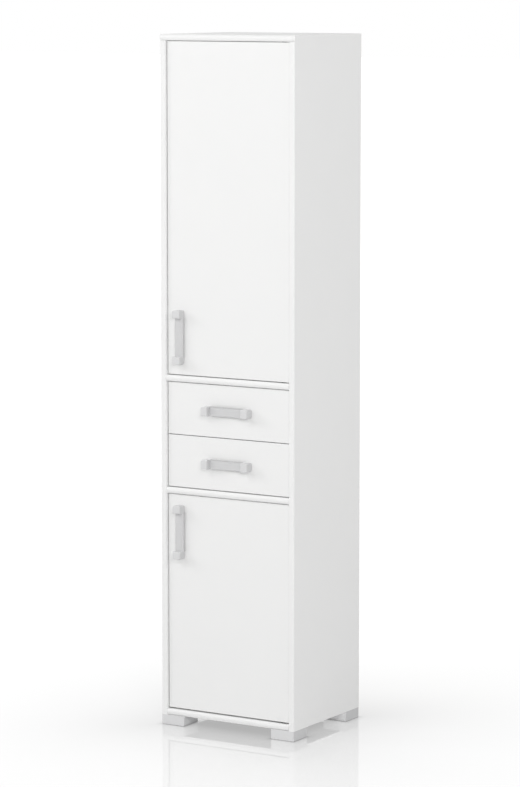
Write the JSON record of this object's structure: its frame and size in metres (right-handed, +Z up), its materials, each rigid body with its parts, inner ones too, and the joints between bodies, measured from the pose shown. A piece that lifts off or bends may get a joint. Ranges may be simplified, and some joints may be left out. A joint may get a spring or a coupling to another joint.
{
  "type": "tall bathroom cabinet",
  "caption": "Tall narrow white bathroom cabinet with inset doors above and below inset drawers, round-edged boards, bow handles and block feet.",
  "frame": {"origin": "on the floor, under the middle of the outline with the handles counted", "axes": "+X to the cabinet's right, +Y to its back, +Z up; the doors and drawers face -Y"},
  "size_m": [0.4, 0.351, 1.791],
  "materials": {
    "white_board": "satin white foil on particle board",
    "white_drawer_board": "matt white foil on particle board",
    "white_hardboard": "white lacquered hardboard",
    "silver_cast": "satin silver casting",
    "grey_plastic": "silver-grey moulded plastic",
    "zinc_plated_steel": "bright zinc plating",
    "white_coated_steel": "white epoxy coating",
    "zinc_casting": "bare zinc casting",
    "beech": "fluted beech",
    "white_nylon": "moulded nylon"
  },
  "bodies": {
    "carcass": {"left_side_panel": "white_board", "right_side_panel": "white_board", "top_panel": "white_board", "bottom_panel": "white_board", "upper_divider": "white_board", "lower_divider": "white_board", "back_panel": "white_hardboard", "upper_shelf_1": "white_board", "upper_shelf_2": "white_board", "lower_shelf_1": "white_board", "shelf_pins": "zinc_plated_steel", "foot_front_left": "grey_plastic", "foot_front_right": "grey_plastic", "foot_back_left": "grey_plastic", "foot_back_right": "grey_plastic", "foot_screws": "zinc_plated_steel", "cam_locks": "zinc_casting", "cam_bolts": "zinc_plated_steel", "dowels": "beech", "wall_bracket": "zinc_plated_steel", "chipboard_screws": "zinc_plated_steel", "pivot_bushes": "white_nylon", "magnetic_catches": "white_nylon", "cabinet_rails": "white_coated_steel"},
    "upper_door": {"upper_door_panel": "white_board", "upper_door_handle": "silver_cast", "upper_door_handle_screws": "zinc_plated_steel", "upper_door_pivot_plates": "zinc_plated_steel", "upper_door_plate_screws": "zinc_plated_steel", "upper_door_strike": "zinc_plated_steel"},
    "lower_door": {"lower_door_panel": "white_board", "lower_door_handle": "silver_cast", "lower_door_handle_screws": "zinc_plated_steel", "lower_door_pivot_plates": "zinc_plated_steel", "lower_door_plate_screws": "zinc_plated_steel", "lower_door_strike": "zinc_plated_steel"},
    "upper_drawer": {"upper_drawer_front": "white_board", "upper_drawer_left_side": "white_drawer_board", "upper_drawer_right_side": "white_drawer_board", "upper_drawer_back": "white_drawer_board", "upper_drawer_bottom": "white_hardboard", "upper_drawer_handle": "silver_cast", "upper_drawer_handle_screws": "zinc_plated_steel", "upper_drawer_dowels": "beech", "upper_drawer_runners": "white_coated_steel", "upper_drawer_runner_screws": "zinc_plated_steel"},
    "lower_drawer": {"lower_drawer_front": "white_board", "lower_drawer_left_side": "white_drawer_board", "lower_drawer_right_side": "white_drawer_board", "lower_drawer_back": "white_drawer_board", "lower_drawer_bottom": "white_hardboard", "lower_drawer_handle": "silver_cast", "lower_drawer_handle_screws": "zinc_plated_steel", "lower_drawer_dowels": "beech", "lower_drawer_runners": "white_coated_steel", "lower_drawer_runner_screws": "zinc_plated_steel"},
    "lower_drawer_front_rollers": {"lower_drawer_front_rollers": "white_nylon"},
    "lower_drawer_rear_rollers": {"lower_drawer_rear_rollers": "white_nylon"},
    "upper_drawer_front_rollers": {"upper_drawer_front_rollers": "white_nylon"},
    "upper_drawer_rear_rollers": {"upper_drawer_rear_rollers": "white_nylon"}
  },
  "joints": [
    {"name": "upper_door_swing", "type": "hinge", "parent": "carcass", "child": "upper_door", "pos_m": [0.162, -0.1435, 1.347], "axis": [0, 0, 1], "range_deg": [0, 100]},
    {"name": "lower_door_swing", "type": "hinge", "parent": "carcass", "child": "lower_door", "pos_m": [0.162, -0.1435, 0.3265], "axis": [0, 0, 1], "range_deg": [0, 100]},
    {"name": "lower_drawer_slide", "type": "slide", "parent": "carcass", "child": "lower_drawer", "axis": [0, -1, 0], "range_m": [0, 0.2]},
    {"name": "lower_drawer_front_rollers_spin", "type": "hinge", "parent": "carcass", "child": "lower_drawer_front_rollers", "pos_m": [0, -0.1185, 0.6455], "axis": [1, 0, 0], "range_deg": [0, 1275]},
    {"name": "lower_drawer_rear_rollers_spin", "type": "hinge", "parent": "lower_drawer", "child": "lower_drawer_rear_rollers", "pos_m": [0, 0.1205, 0.6455], "axis": [1, 0, 0], "range_deg": [0, 1275]},
    {"name": "upper_drawer_slide", "type": "slide", "parent": "carcass", "child": "upper_drawer", "axis": [0, -1, 0], "range_m": [0, 0.2]},
    {"name": "upper_drawer_front_rollers_spin", "type": "hinge", "parent": "carcass", "child": "upper_drawer_front_rollers", "pos_m": [0, -0.1185, 0.7825], "axis": [1, 0, 0], "range_deg": [0, 1275]},
    {"name": "upper_drawer_rear_rollers_spin", "type": "hinge", "parent": "upper_drawer", "child": "upper_drawer_rear_rollers", "pos_m": [0, 0.1205, 0.7825], "axis": [1, 0, 0], "range_deg": [0, 1275]}
  ],
  "couplings": [
    {"joint": "lower_drawer_front_rollers_spin", "follows": "lower_drawer_slide", "rad_per_m": 111.11},
    {"joint": "lower_drawer_rear_rollers_spin", "follows": "lower_drawer_slide", "rad_per_m": 111.11},
    {"joint": "upper_drawer_front_rollers_spin", "follows": "upper_drawer_slide", "rad_per_m": 111.11},
    {"joint": "upper_drawer_rear_rollers_spin", "follows": "upper_drawer_slide", "rad_per_m": 111.11}
  ]
}
